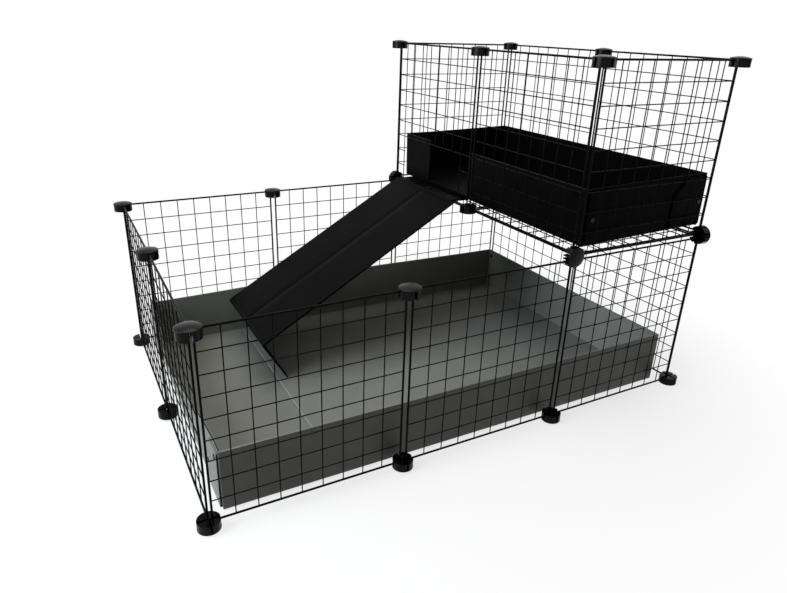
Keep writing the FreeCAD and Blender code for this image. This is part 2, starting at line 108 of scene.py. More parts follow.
@dataclass
class NodeGraph:
    """The emptied node tree of a material or a world, with the steps that several finishes share."""

    owner: Material | World

    def __post_init__(self) -> None:
        """Empties the tree."""
        self.owner.use_nodes = True
        self.owner.node_tree.nodes.clear()

    def add_node(self, kind: str, settings: dict[str, object] | None = None, **inputs: object) -> Node:
        """Adds a node, sets its properties and fills or links its inputs.

        Args:
            kind: the node's type name.
            settings: properties of the node itself.
            **inputs: a socket name with underscores for spaces, or iN for input number N, with a value or
                an output socket.

        Returns:
            The new node.
        """
        tree = self.owner.node_tree
        node = tree.nodes.new(kind)
        for name, value in (settings or {}).items():
            setattr(node, name, value)
        for name, value in inputs.items():
            by_number = name[0] == "i" and name[1:].isdigit()
            socket = node.inputs[int(name[1:])] if by_number else node.inputs[name.replace("_", " ")]
            if isinstance(value, NodeSocket):
                tree.links.new(value, socket)
            else:
                socket.default_value = value
        return node

    def math(self, operation: str, **values: object) -> NodeSocket:
        """Works out a value.

        Args:
            operation: what is done with the values.
            **values: i0 and i1, each a number or a socket.

        Returns:
            The result.
        """
        return self.add_node("ShaderNodeMath", {"operation": operation}, **values).outputs[0]

    def noise(self, place: NodeSocket, size_mm: float, detail: float, **more: float) -> NodeSocket:
        """Adds a noise whose features have about a given size.

        Args:
            place: where it is read.
            size_mm: the features' size in millimetres.
            detail: number of finer layers.
            **more: values of its other inputs.

        Returns:
            The noise's value.
        """
        scale = 1 / (size_mm * MM)
        node = self.add_node("ShaderNodeTexNoise", Vector=place, Scale=scale, Detail=detail, **more)
        return node.outputs["Fac"]

    def mapped(self, value: NodeSocket, low: float, high: float, **limits: float) -> NodeSocket:
        """Maps a value to a range.

        Args:
            value: the value.
            low: start of the range.
            high: end of the range.
            **limits: From_Min and From_Max of the value, where they aren't 0 and 1.

        Returns:
            The value in the range.
        """
        node = self.add_node("ShaderNodeMapRange", Value=value, To_Min=low, To_Max=high, **limits)
        return node.outputs["Result"]

    def tinted(self, share: NodeSocket, dark: tuple[float, str], light: tuple[float, str]) -> NodeSocket:
        """Adds a colour ramp between two colours.

        Args:
            share: the value that picks the colour.
            dark: place from 0 to 1 and sRGB hex colour of the first stop.
            light: the same of the last stop.

        Returns:
            The colour.
        """
        ramp = self.add_node("ShaderNodeValToRGB", Fac=share)
        for element, (place, colour) in zip(ramp.color_ramp.elements, (dark, light)):
            element.position = place
            element.color = linear(colour)
        return ramp.outputs["Color"]

    def bumped(self, height: NodeSocket, strength: float, depth_mm: float, **more: object) -> NodeSocket:
        """Adds a bump.

        Args:
            height: the height from 0 to 1.
            strength: how much of it shows.
            depth_mm: the height's full depth in millimetres.
            **more: its other inputs.

        Returns:
            The bumped normal.
        """
        depth = depth_mm * MM
        node = self.add_node("ShaderNodeBump", Strength=strength, Distance=depth, Height=height, **more)
        return node.outputs["Normal"]

    def surface(
        self, colour: NodeSocket, roughness: NodeSocket, normal: NodeSocket, reflection: float,
        ior: float = 1.5,
    ) -> None:
        """Ends a material with a Principled shader on its output.

        Args:
            colour: the base colour.
            roughness: the roughness.
            normal: the bumped normal.
            reflection: strength of the mirrored part.
            ior: the index of refraction.
        """
        shader = self.add_node(
            "ShaderNodeBsdfPrincipled", Base_Color=colour, Roughness=roughness, Normal=normal, IOR=ior,
            Specular_IOR_Level=reflection,
        )
        self.add_node("ShaderNodeOutputMaterial", Surface=shader.outputs["BSDF"])


@dataclass(frozen=True)
class CoatedWire:
    """Steel wire with a baked powder coat: black, low gloss, with a fine orange-peel skin."""

    name: str = "powder_coated_steel_wire"
    dark: str = "#020202"
    light: str = "#050506"
    rough_low: float = 0.3
    rough_high: float = 0.46
    reflection: float = 0.035
    cloud_mm: float = 50 / 3
    peel_mm: float = 0.7
    peel_depth_mm: float = 0.1

    def make(self) -> Material:
        """Returns the material."""
        material = bpy.data.materials.new(self.name)
        graph = NodeGraph(material)
        place = graph.add_node("ShaderNodeTexCoord").outputs["Object"]
        cloud = graph.noise(place, self.cloud_mm, detail=3.0)
        tint = graph.tinted(cloud, (0.3, self.dark), (0.75, self.light))
        gloss = graph.mapped(cloud, self.rough_low, self.rough_high)
        peel = graph.noise(place, self.peel_mm, detail=2.0)
        bump = graph.bumped(peel, 0.25, self.peel_depth_mm)
        # The peel and the black binder scatter the white surroundings, so little of them is mirrored
        graph.surface(tint, gloss, bump, self.reflection)
        return material


@dataclass(frozen=True)
class MouldedPlastic:
    """Injection-moulded black plastic: smooth, with a soft broad gloss and faint flow marks."""

    name: str
    dark: str
    light: str
    rough_low: float
    rough_high: float
    reflection: float
    flow_mm: float = 9.0
    grain_mm: float = 0.5
    grain_depth_mm: float = 0.08

    def make(self) -> Material:
        """Returns the material."""
        material = bpy.data.materials.new(self.name)
        graph = NodeGraph(material)
        place = graph.add_node("ShaderNodeTexCoord").outputs["Object"]
        flow = graph.noise(place, self.flow_mm, detail=4.0, Distortion=0.6)
        tint = graph.tinted(flow, (0.35, self.dark), (0.7, self.light))
        gloss = graph.mapped(flow, self.rough_low, self.rough_high)
        grain = graph.noise(place, self.grain_mm, detail=2.0)
        graph.surface(tint, gloss, graph.bumped(grain, 0.12, self.grain_depth_mm), self.reflection)
        return material


@dataclass(frozen=True)
class FlutedSheet:
    """Extruded twin-wall polypropylene: satin skins, a faint rib line over each flute and pale creases that
    are wear and, along the ramp's groove, partly a painted highlight.
    """

    name: str
    dark: str
    light: str
    # Pale crease colour: whitening at folds and scores, and along the ramp's middle groove partly a painted
    # highlight
    crease: str
    rough_low: float
    rough_high: float
    reflection: float
    ior: float = 1.49
    flute_mm: float = 4.5
    patch_mm: float = 120.0
    scuff_mm: float = 2.5
    scuff_stretch: float = 0.12
    scuff_depth_mm: float = 0.1
    rib_shade: float = 0.86
    rib_depth_mm: float = 0.25

    def make(self) -> Material:
        """Returns the material."""
        material = bpy.data.materials.new(self.name)
        graph = NodeGraph(material)
        place = graph.add_node("ShaderNodeTexCoord").outputs["Object"]
        flutes = graph.add_node("ShaderNodeUVMap", {"uv_map": "flutes"}).outputs["UV"]
        patch = graph.noise(place, self.patch_mm, detail=3.0, Roughness=0.55)
        tint = graph.tinted(patch, (0.3, self.dark), (0.7, self.light))
        across = graph.add_node("ShaderNodeSeparateXYZ", Vector=flutes).outputs["Y"]
        turns = graph.math("MULTIPLY", i0=across, i1=2 * math.pi / (self.flute_mm * MM))
        wave = graph.math("COSINE", i0=turns)
        rib = graph.mapped(wave, 0.0, 1.0, From_Min=0.35, From_Max=1.0)
        # The rib lines are shown a little stronger than they are, because a flute is only two pixels wide
        ribbed = graph.add_node(
            "ShaderNodeMix", {"data_type": "RGBA", "blend_type": "MULTIPLY"}, i0=rib, i6=tint,
            i7=(self.rib_shade, self.rib_shade, self.rib_shade, 1.0),
        )
        stretch = graph.add_node("ShaderNodeMapping", Vector=flutes, Scale=(self.scuff_stretch, 1.0, 1.0))
        scuff = graph.noise(stretch.outputs["Vector"], self.scuff_mm, detail=4.0)
        # The crease attribute mixes in the pale crease colour: fold and score wear, and on the ramp's groove
        # partly a painted highlight
        wear = graph.add_node("ShaderNodeAttribute", {"attribute_name": "crease"}).outputs["Fac"]
        pale = graph.add_node(
            "ShaderNodeMix", {"data_type": "RGBA"}, i0=graph.math("MULTIPLY", i0=wear, i1=scuff),
            i6=ribbed.outputs[2], i7=linear(self.crease),
        )
        gloss = graph.mapped(scuff, self.rough_low, self.rough_high, From_Min=0.3, From_Max=0.7)
        ridges = graph.bumped(rib, 0.35, self.rib_depth_mm)
        skin = graph.bumped(scuff, 0.1, self.scuff_depth_mm, Normal=ridges)
        # A skin full of fine ribs and scuffs mirrors less than a polished one
        graph.surface(pale.outputs[2], gloss, skin, self.reflection, self.ior)
        return material


def unit(vectors: np.ndarray) -> np.ndarray:
    """Scales vectors to a length of one.

    Args:
        vectors: one vector, or an array of them.

    Returns:
        The unit vectors.
    """
    return vectors / np.maximum(np.linalg.norm(vectors, axis=-1, keepdims=True), TINY)


@dataclass
class Shell:
    """Points, four-sided faces, flute map and crease wear of one surface."""

    points: np.ndarray
    quads: np.ndarray
    flutes: np.ndarray
    crease: np.ndarray

    def moved(self, turn: np.ndarray, shift: np.ndarray) -> "Shell":
        """The surface turned and then shifted.

        Args:
            turn: a matrix of 3 by 3.
            shift: the way that it is moved.

        Returns:
            The new surface.
        """
        return Shell(self.points @ turn.T + shift, self.quads, self.flutes, self.crease)


def joined(shells: Sequence[Shell]) -> Shell:
    """Puts several surfaces into one.

    Args:
        shells: the surfaces.

    Returns:
        One surface that holds all their points and faces.
    """
    starts = np.cumsum([0] + [len(shell.points) for shell in shells[:-1]])
    return Shell(
        np.concatenate([shell.points for shell in shells]),
        np.concatenate([shell.quads + start for shell, start in zip(shells, starts)]),
        np.concatenate([shell.flutes for shell in shells]),
        np.concatenate([shell.crease for shell in shells]),
    )


def grid_shell(points: np.ndarray, flutes: np.ndarray, crease: np.ndarray | None = None) -> Shell:
    """Turns a grid of points into a surface: face (i, j) joins points (i, j) to (i + 1, j + 1).

    Args:
        points: array of rows, columns and three coordinates.
        flutes: array of rows, columns and two, in metres along and across the flutes.
        crease: array of rows and columns with the wear of a crease, from 0 to 1.

    Returns:
        The surface.
    """
    rows, columns = points.shape[:2]
    index = np.arange(rows * columns).reshape(rows, columns)
    quads = np.stack([index[:-1, :-1], index[1:, :-1], index[1:, 1:], index[:-1, 1:]], axis=-1)
    wear = np.zeros((rows, columns)) if crease is None else crease
    return Shell(points.reshape(-1, 3), quads.reshape(-1, 4), flutes.reshape(-1, 2), wear.reshape(-1))


@dataclass(frozen=True)
class Flutes:
    """The inner build of the twin-wall sheet."""

    pitch: float = 4.5 * MM
    skin: float = 0.5 * MM
    rib: float = 0.6 * MM
    depth: float = 3.0 * MM

    def stations(self, length: float) -> np.ndarray:
        """Places of the ribs along an edge.

        Args:
            length: the edge's length.

        Returns:
            Distances from the edge's start, both ends among them.
        """
        return np.linspace(0.0, length, max(2, round(length / self.pitch) + 1))

    def open_ends(
        self, outer: np.ndarray, inner: np.ndarray, inward: np.ndarray, flutes: np.ndarray
    ) -> Shell:
        """The cut edge of a sheet across its flutes: between two ribs, a rim round a pocket.

        The pocket's corners are the edge's corners moved in by half a rib along the edge and by a skin across
        it, and its floor is those corners moved into the sheet. A gap shorter than half a flute stays plain.

        Args:
            outer: points of the edge on the outer skin, one at each rib.
            inner: points of the edge on the inner skin.
            inward: direction into the sheet, one for each rib.
            flutes: flute map of each rib.

        Returns:
            The surface of the edge.
        """
        count = len(outer) - 1
        first, last = slice(0, count), slice(1, count + 1)
        span = np.linalg.norm(outer[last] - outer[first], axis=1)
        hollow = span > 0.5 * self.pitch
        part = np.where(hollow, self.rib / 2 / np.maximum(span, TINY), 0.0)[:, None]
        edge = self.skin / np.linalg.norm(inner - outer, axis=1).mean()
        rows = []
        for share in (edge, 1 - edge):
            line = outer + (inner - outer) * share
            rows.append(line[first] + (line[last] - line[first]) * part)
            rows.append(line[first] + (line[last] - line[first]) * (1 - part))
        drop = inward[first] * self.depth
        points = np.concatenate([outer, inner] + rows + [row + drop for row in rows])
        a = np.arange(count)
        b = a + count + 1
        start = 2 * (count + 1)
        o1, o2, i1, i2 = (start + count * number + a for number in range(4))
        deep = 4 * count
        plain = np.stack([a, a + 1, b + 1, b], axis=-1)[~hollow]
        faces = [
            (a, a + 1, o2, o1), (a + 1, b + 1, i2, o2), (b + 1, b, i1, i2), (b, a, o1, i1),
            (o1, o2, o2 + deep, o1 + deep), (o2, i2, i2 + deep, o2 + deep),
            (i2, i1, i1 + deep, i2 + deep), (i1, o1, o1 + deep, i1 + deep),
            (o1 + deep, o2 + deep, i2 + deep, i1 + deep),
        ]
        quads = np.concatenate([plain] + [np.stack(face, axis=-1)[hollow] for face in faces])
        maps = np.concatenate([flutes, flutes] + [flutes[first]] * 8)
        used, packed = np.unique(quads, return_inverse=True)
        return Shell(points[used], packed.reshape(-1, 4), maps[used], np.zeros(len(used)))


FLUTES = Flutes()


def slab(
    middle: np.ndarray,
    normal: np.ndarray,
    flutes: np.ndarray,
    crease: np.ndarray | None = None,
    edges: dict[tuple[int, Side], FluteEdge] | None = None,
    thickness: float = SHEET,
    groove: np.ndarray | float = 0.0,
) -> list[Shell]:
    """A sheet of even thickness about a grid: each skin is the grid moved along its normals by half of it.

    Args:
        middle: rows by columns of points on the sheet's middle.
        normal: the unit normal at each point.
        flutes: the flute map at each point.
        crease: the crease wear at each point.
        edges: for an edge given as its axis and side, whether it shows the flutes' open ends.
        thickness: the sheet's thickness.
        groove: how far the outer skin is pressed in at each point.

    Returns:
        The two skins and the four edges.
    """
    pressed = np.broadcast_to(groove, middle.shape[:2])[..., None]
    outer, inner = middle + normal * (thickness / 2 - pressed), middle - normal * thickness / 2
    shells = [grid_shell(outer, flutes, crease), grid_shell(inner[::-1], flutes[::-1], None)]
    for axis in (0, 1):
        for side in Side:
            rim, lip, maps = (np.take(grid, side.value, axis) for grid in (outer, inner, flutes))
            if (edges or {}).get((axis, side), FluteEdge.CLOSED) is FluteEdge.OPEN:
                beside = 1 if side is Side.FIRST else -2
                inward = unit(np.take(middle, beside, axis) - np.take(middle, side.value, axis))
                shells.append(FLUTES.open_ends(rim, lip, inward, maps))
            else:
                shells.append(grid_shell(np.stack([rim, lip]), np.stack([maps, maps])))
    return shells


def piece(name: str, shells: Sequence[Shell], material: Material, sharp_deg: float = 40) -> Object:
    """Makes one object at the origin from surfaces, with merged seams and faces that point outwards.

    Args:
        name: the object's name.
        shells: its surfaces.
        material: its finish.
        sharp_deg: the angle past which an edge is shown sharp.

    Returns:
        The new object.
    """
    whole = joined(list(shells))
    mesh = bpy.data.meshes.new(name)
    mesh.from_pydata(whole.points, [], whole.quads.tolist())
    layer = mesh.uv_layers.new(name="flutes")
    loops = np.empty(len(mesh.loops), dtype=np.int32)
    mesh.loops.foreach_get("vertex_index", loops)
    layer.data.foreach_set("uv", whole.flutes[loops].astype(np.float32).ravel())
    wear = mesh.attributes.new("crease", "FLOAT", "POINT")
    wear.data.foreach_set("value", whole.crease.astype(np.float32))
    work = bmesh.new()
    work.from_mesh(mesh)
    bmesh.ops.remove_doubles(work, verts=work.verts, dist=MERGE)
    bmesh.ops.recalc_face_normals(work, faces=work.faces)
    work.to_mesh(mesh)
    work.free()
    mesh.shade_smooth()
    mesh.set_sharp_from_angle(angle=math.radians(sharp_deg))
    mesh.materials.append(material)
    obj = bpy.data.objects.new(name, mesh)
    bpy.context.scene.collection.objects.link(obj)
    return obj


def dress(nodes: Sequence[str], material: Material) -> None:
    """Gives CAD nodes a finish.

    Args:
        nodes: names of the nodes.
        material: the finish.
    """
    for name in nodes:
        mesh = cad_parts[name].data
        mesh.materials.clear()
        mesh.materials.append(material)


def rounded_path(corners: np.ndarray, radius: float, steps: int = 7) -> np.ndarray:
    """A path through corners in a plane, with each inner corner rounded by an arc.

    The arc's centre is on the bisector of its corner, and its points are that centre plus the radius in
    directions turned evenly from one run's normal to the other's.

    Args:
        corners: array of points of two coordinates.
        radius: the arcs' radius.
        steps: points on each arc.

    Returns:
        The path's points.
    """
    runs = [corners[:1]]
    for before, corner, after in zip(corners[:-2], corners[1:-1], corners[2:]):
        back, ahead = unit(before - corner), unit(after - corner)
        half = math.acos(float(np.clip(back @ ahead, -1, 1))) / 2
        reach = radius / math.tan(half)
        centre = corner + unit(back + ahead) * radius / math.sin(half)
        start, end = corner + back * reach - centre, corner + ahead * reach - centre
        share = np.linspace(0, 1, steps)[:, None]
        sweep = math.pi - 2 * half
        weights = np.sin((1 - share) * sweep), np.sin(share * sweep)
        runs.append(centre + (start * weights[0] + end * weights[1]) / math.sin(sweep))
    runs.append(corners[-1:])
    return np.concatenate(runs)


def path_normals(path: np.ndarray) -> np.ndarray:
    """Unit normals on the left of a path in a plane: each tangent turned by a quarter turn.

    Args:
        path: array of points of two coordinates.

    Returns:
        A normal for each point.
    """
    tangent = unit(np.gradient(path, axis=0))
    return np.stack([-tangent[:, 1], tangent[:, 0]], axis=1)


def carried(line: np.ndarray, across: np.ndarray) -> np.ndarray:
    """Carries a line in the XZ plane across Y: point (i, j) has the line's X and Z at i, and the Y at j.

    Args:
        line: X and Z at each point of the line.
        across: Y of each column.

    Returns:
        Array of rows, columns and three coordinates.
    """
    shape = (len(line), len(across))
    x, z = (np.broadcast_to(line[:, axis, None], shape) for axis in (0, 1))
    return np.stack([x, np.broadcast_to(across, shape), z], axis=-1)


def path_lengths(path: np.ndarray) -> np.ndarray:
    """Distance along a path at each of its points.

    Args:
        path: array of points.

    Returns:
        The distances, from zero.
    """
    return np.concatenate([[0.0], np.cumsum(np.linalg.norm(np.diff(path, axis=0), axis=1))])


def sphere_angles(around: int, up: int) -> Sequence[np.ndarray]:
    """Grids of the turn round a sphere and of the tilt from its lower to its upper pole.

    Args:
        around: points round it.
        up: points from pole to pole.

    Returns:
        The turns and the tilts.
    """
    turns, tilts = np.linspace(0, 2 * math.pi, around), np.linspace(-math.pi / 2, math.pi / 2, up)
    return np.meshgrid(turns, tilts, indexing="ij")


@dataclass
class FoldedTray:
    """A tray folded from one fluted sheet: long walls with tabs lapped on the outside of the short walls.

    The tray is built about its own middle with its long walls along X, then turned and put in its place. Its
    bulges are how far the rims of the +Y, -X, -Y and +X walls stand out in the middle.
    """

    name: str
    node: str
    body: str
    slot: str
    length: float
    width: float
    centre: Triple
    quarter_turns: int = 0
    tilt_deg: float = 0.0
    wall: float = 122 * MM
    fold: float = 5 * MM
    bulges: tuple[float, float, float, float] = (-1.2 * MM, -1.2 * MM, -1.2 * MM, -1.2 * MM)
    tab_length: float = 96 * MM
    tab_gap: float = 0.3 * MM
    tab_lift: float = 6 * MM
    tab_drop: float = 5 * MM
    tab_corner: float = 40 * MM
    film: float = 0.5 * MM
    film_grip: float = 6 * MM
    notch: Triple | None = None
    scores: tuple[float, ...] = ()
    score_depth: float = 0.5 * MM
    score_half: float = 1.4 * MM
    floor_steps: tuple[int, int] = (61, 41)
    wall_steps: int = 33
    fold_steps: int = 7
    tab_steps: int = 9
    fold_wear: float = 0.6

    def floor(self) -> list[Shell]:
        """The flat floor: height is half the sheet, with the upper skin pressed in by a V at each score line.

        Returns:
            The floor's surfaces.
        """
        half_x, half_y = self.length / 2 - self.fold, self.width / 2 - self.fold
        offsets = (-1.0, -0.35, 0.0, 0.35, 1.0)
        marks = [place + offset * self.score_half for place in self.scores for offset in offsets]
        columns, rows = self.floor_steps
        x = np.unique(np.concatenate([np.linspace(-half_x, half_x, columns), np.array(marks)]))
        y = np.linspace(-half_y, half_y, rows)
        grid_x, grid_y = np.meshgrid(x, y, indexing="ij")
        wear = np.zeros_like(grid_x)
        for place in self.scores:
            wear = np.maximum(wear, np.clip(1 - np.abs(grid_x - place) / self.score_half, 0, 1))
        middle = np.stack([grid_x, grid_y, np.full_like(grid_x, SHEET / 2)], axis=-1)
        normal = np.broadcast_to([0.0, 0.0, 1.0], middle.shape)
        return slab(middle, normal, middle[..., :2], wear, groove=wear * self.score_depth)

    def profile(self, rows: int = 8) -> tuple[np.ndarray, np.ndarray, np.ndarray, np.ndarray]:
        """A wall's cross-section: a quarter circle from the floor up into the wall, then a straight wall.

        Args:
            rows: points on the straight wall.

        Returns:
            Distance in from the tray's outside, height, and the outward and upward parts of the normal.
        """
        turn = np.linspace(0, math.pi / 2, self.fold_steps)
        bend = self.fold - SHEET / 2
        up = np.linspace(self.fold, self.wall, rows)[1:]
        inset = np.concatenate([self.fold - bend * np.sin(turn), np.full(rows - 1, SHEET / 2)])
        height = np.concatenate([self.fold - bend * np.cos(turn), up])
        out = np.concatenate([np.sin(turn), np.ones(rows - 1)])
        rise = np.concatenate([-np.cos(turn), np.zeros(rows - 1)])
        return inset, height, out, rise

    def stand_out(self, place: np.ndarray, run: float, height: np.ndarray, bulge: float) -> np.ndarray:
        """How far a wall stands out: the bulge times the squared sine along its run and the squared height.

        Args:
            place: distance along the wall from its middle.
            run: the wall's length.
            height: height above the floor.
            bulge: how far the middle of the rim stands out.

        Returns:
            The distance at each place and height.
        """
        return bulge * np.sin(math.pi * (place / run + 0.5)) ** 2 * (height / self.wall) ** 2

    def wall_slab(
        self, run: float, half: float, open_top: FluteEdge, bulge: float, notch: bool = False
    ) -> list[Shell]:
        """One wall along X on the +Y side: the cross-section carried along the run.

        It stands out in the middle. A notch lowers its top to a sill over part of the run.

        Args:
            run: the wall's length.
            half: distance from the tray's middle to the wall's outside.
            open_top: whether the rim shows the flutes' open ends.
            bulge: how far the middle of the rim stands out.
            notch: whether the wall has the tray's notch.

        Returns:
            The wall's surfaces.
        """
        is_open = open_top is FluteEdge.OPEN
        x = FLUTES.stations(run) - run / 2 if is_open else np.linspace(-run / 2, run / 2, self.wall_steps)
        top = np.full(len(x), self.wall)
        if notch and self.notch:
            low, high, sill = self.notch
            x = np.sort(np.concatenate([x, [low, low, high, high]]))
            top = np.where((x > low) & (x < high), sill, self.wall)
            inner = np.searchsorted(x, low) + 1, np.searchsorted(x, high, side="right") - 2
            top[inner[0]] = top[inner[1]] = sill
        inset, height, out, rise = self.profile()
        straight = height >= self.fold
        scale = (top[:, None] - self.fold) / (self.wall - self.fold)
        z = np.where(straight, self.fold + (height - self.fold) * scale, height)
        y = half - inset + np.where(straight, self.stand_out(x[:, None], run, z, bulge), 0.0)
        middle = np.stack([np.broadcast_to(x[:, None], z.shape), y, z], axis=-1)
        normal = np.stack(
            [np.zeros_like(z), np.broadcast_to(out, z.shape), np.broadcast_to(rise, z.shape)], axis=-1
        )
        along = np.broadcast_to(path_lengths(np.stack([inset, height], axis=1)), z.shape)
        maps = (along, middle[..., 0]) if is_open else (middle[..., 0], along)
        wear = np.where(straight, 0.0, np.clip(rise * -out * 2, 0, 1) * self.fold_wear)
        crease = np.broadcast_to(wear, z.shape)
        return slab(middle, normal, np.stack(maps, axis=-1), crease, {(1, Side.LAST): open_top})

    def tab(self, bulge: float) -> list[Shell]:
        """The tab at the +X end of the +Y wall: a band on the outside of the short wall, lower and trimmed.

        Its fold is cut from the outside, so it starts behind the wall with its flutes open, and one skin
        joins it to the wall on the inside. Its top is level, then falls at 45 degrees to the trimmed corner.

        Args:
            bulge: how far the short wall under it stands out.

        Returns:
            The tab's surfaces.
        """
        end, lap = self.width / 2 - self.tab_length, self.length / 2 + self.tab_gap
        start, top = self.width / 2 - SHEET, self.wall - self.tab_drop
        knee = end + self.tab_corner
        steps = self.tab_steps
        y = np.concatenate([np.linspace(start, knee, steps), np.linspace(knee, end, steps)[1:]])
        tops = top - np.clip(self.tab_corner - (y - end), 0, None)
        share = FLUTES.stations(top - self.tab_lift) / (top - self.tab_lift)
        z = self.tab_lift + (tops[:, None] - self.tab_lift) * share
        x = lap + SHEET / 2 + self.stand_out(y[:, None], self.width - 2 * SHEET, z, bulge)
        middle = np.stack([x, np.broadcast_to(y[:, None], z.shape), z], axis=-1)
        normal = np.broadcast_to([1.0, 0.0, 0.0], middle.shape)
        edges = {(0, Side.FIRST): FluteEdge.OPEN, (0, Side.LAST): FluteEdge.OPEN}
        band = slab(middle, normal, middle[..., 1:], None, edges)
        wall_skin, tab_skin = start + self.film / 2, lap + self.film / 2
        bend = rounded_path(np.array([
            [self.length / 2 - self.film_grip, wall_skin], [tab_skin, wall_skin],
            [tab_skin, start - self.film_grip],
        ]), self.film)
        side = path_normals(bend)[:, None, :]
        levels = np.array([self.tab_lift, top])
        shape = (len(bend), len(levels))
        height = np.broadcast_to(levels, shape)[..., None]
        skin = np.concatenate([np.broadcast_to(bend[:, None, :], shape + (2,)), height], axis=-1)
        facing = np.concatenate([np.broadcast_to(side, shape + (2,)), np.zeros(shape + (1,))], axis=-1)
        return band + slab(skin, facing, skin[..., 1:], thickness=self.film)

    def build(self, material: Material) -> Object:
        """Makes the tray in its place.

        Args:
            material: the sheet's finish.

        Returns:
            The tray's object.
        """
        same, half_turn = np.eye(3), np.diag([-1.0, -1.0, 1.0])
        flip_x, flip_y = np.diag([-1.0, 1.0, 1.0]), np.diag([1.0, -1.0, 1.0])
        across = np.array([[0.0, 1.0, 0.0], [1.0, 0.0, 0.0], [0.0, 0.0, 1.0]])
        back, left, front, right = self.bulges
        long_wall = self.length, self.width / 2, FluteEdge.CLOSED
        short_wall = self.width - 2 * SHEET, self.length / 2, FluteEdge.OPEN
        sides = (
            (same, self.wall_slab(*long_wall, back, notch=True)),
            (half_turn, self.wall_slab(*long_wall, front)),
            (across, self.wall_slab(*short_wall, right)),
            (across @ half_turn, self.wall_slab(*short_wall, left)),
            (same, self.tab(right)), (flip_x, self.tab(left)),
            (half_turn, self.tab(left)), (flip_y, self.tab(right)),
        )
        shells = self.floor()
        for turn, side in sides:
            shells += [shell.moved(turn, np.zeros(3)) for shell in side]
        turn = np.array(Matrix.Rotation(math.radians(-self.tilt_deg), 3, "Y")
                        @ Matrix.Rotation(self.quarter_turns * math.pi / 2, 3, "Z"))
        obj = piece(self.name, [shell.moved(turn, np.array(self.centre)) for shell in shells], material)
        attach(obj, self.body)
        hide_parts(self.node)
        return obj


@dataclass
class Ramp:
    """The ramp's deck with a foot folded under its lower end, hung from a flap tied to the doorway's wire."""

    crease: Triple = (170 * MM, 184 * MM, 389.65 * MM)
    width: float = 290 * MM
    length: float = 577 * MM
    slope_deg: float = 30.0
    crease_gap: float = 0.4 * MM
    foot_bottom: float = 4.3 * MM
    fold: float = 5.5 * MM
    groove_half: float = 1.6 * MM
    groove_depth: float = 0.7 * MM
    film_reach: float = 9 * MM
    film_inset: float = 17 * MM
    film: float = 0.5 * MM
    film_level: float = 0.3 * MM
    film_wear: float = 2 * MM
    bend_half: float = 1.5 * MM
    columns: int = 15
    film_columns: int = 25
    wear: float = 0.5

    def deck(self) -> list[Shell]:
        """The deck and foot: a side line with one rounded fold, carried across the width at even steps.

        The side line runs under the deck's top by half the sheet, from the crease down to the lower edge, and
        turns square into the foot. A V-shaped groove is pressed into the top along the middle of the deck,
        and its pale crease colour is partly wear and partly a painted highlight along the groove.

        Returns:
            The sheet's surfaces.
        """
        slope = math.radians(self.slope_deg)
        run, rise = math.cos(slope), math.sin(slope)
        down = np.array([-run, -rise])
        under = np.array([rise, -run])
        start = down * self.crease_gap / run + under * SHEET / 2
        toe = down * (self.length - SHEET / 2) + under * SHEET / 2
        drop = (self.crease[2] + toe[1] - self.foot_bottom - SHEET / 2 * rise) / run
        coarse = rounded_path(np.array([start, toe, toe + under * drop]), self.fold - SHEET / 2)
        lengths = path_lengths(coarse)
        flat, last = FLUTES.stations(lengths[1]), FLUTES.stations(lengths[-1] - lengths[-2])
        places = np.unique(np.concatenate([flat, lengths[1:-1], lengths[-2] + last]).round(9))
        side = np.stack([np.interp(places, lengths, coarse[:, axis]) for axis in (0, 1)], axis=1)
        left = path_normals(side)
        half = self.width / 2
        y = np.unique(np.concatenate([
            np.linspace(-half, half, self.columns), self.groove_half * np.array([-1.0, -0.4, 0.4, 1.0]),
            [SHEET - half, half - SHEET],
        ]))
        on_deck = places <= lengths[1]
        # The groove's crease wear pales the deck along its middle: partly real wear, partly a painted
        # highlight line
        wear = np.clip(1 - np.abs(y)[None, :] / self.groove_half, 0, 1) * on_deck[:, None]
        normal, middle = carried(-left, np.zeros(len(y))), carried(side, y)
        in_fold = (places > lengths[1]) & (places < lengths[-2])
        crease = np.maximum(wear * self.wear, in_fold[:, None] * self.wear)
        maps = np.stack([middle[..., 1], np.broadcast_to(places[:, None], wear.shape)], axis=-1)
        edges = {(1, Side.FIRST): FluteEdge.OPEN, (1, Side.LAST): FluteEdge.OPEN}
        shells = slab(middle, normal, maps, crease, edges, groove=wear * self.groove_depth)
        return [shell.moved(np.eye(3), np.array(self.crease)) for shell in shells]

    def crease_film(self) -> list[Shell]:
        """The skin left across the crease: a thin strip on the flap's top that bends down on to the deck.

        Its line is two straight runs that meet at the crease, and its thickness is that of one skin.

        Returns:
            The film's surfaces.
        """
        slope = math.radians(self.slope_deg)
        coarse, fine = np.linspace(1 * MM, self.film_reach, 6), np.linspace(-0.8, 0.8, 9) * MM
        reach = np.concatenate([-coarse[::-1], fine, coarse])
        level = np.where(reach < 0, reach * math.sin(slope), 0.0) + self.film_level
        x = np.where(reach < 0, reach * math.cos(slope), reach)
        half = self.width / 2 - self.film_inset
        y = np.linspace(-half, half, self.film_columns)
        shape = (len(reach), len(y))
        line = np.stack([x, level], axis=1)
        middle = carried(line, y) + np.array(self.crease)
        normal = carried(path_normals(line), np.zeros(len(y)))
        along = np.broadcast_to(reach[:, None], shape)
        wear = np.clip(1 - np.abs(along) / self.film_wear, 0, 1) * self.wear
        maps = np.stack([middle[..., 1], along], axis=-1)
        return slab(middle, normal, maps, wear, thickness=self.film)

    def build(self, sheet: Material) -> list[Object]:
        """Makes the ramp's sheet and the film across its crease.

        Args:
            sheet: the black sheet's finish.

        Returns:
            The new objects.
        """
        deck = piece("ramp_sheet", self.deck(), sheet)
        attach(deck, "ramp")
        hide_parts("ramp")
        film = piece("ramp_crease_film", self.crease_film(), sheet)
        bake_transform(film)
        return [deck, film]


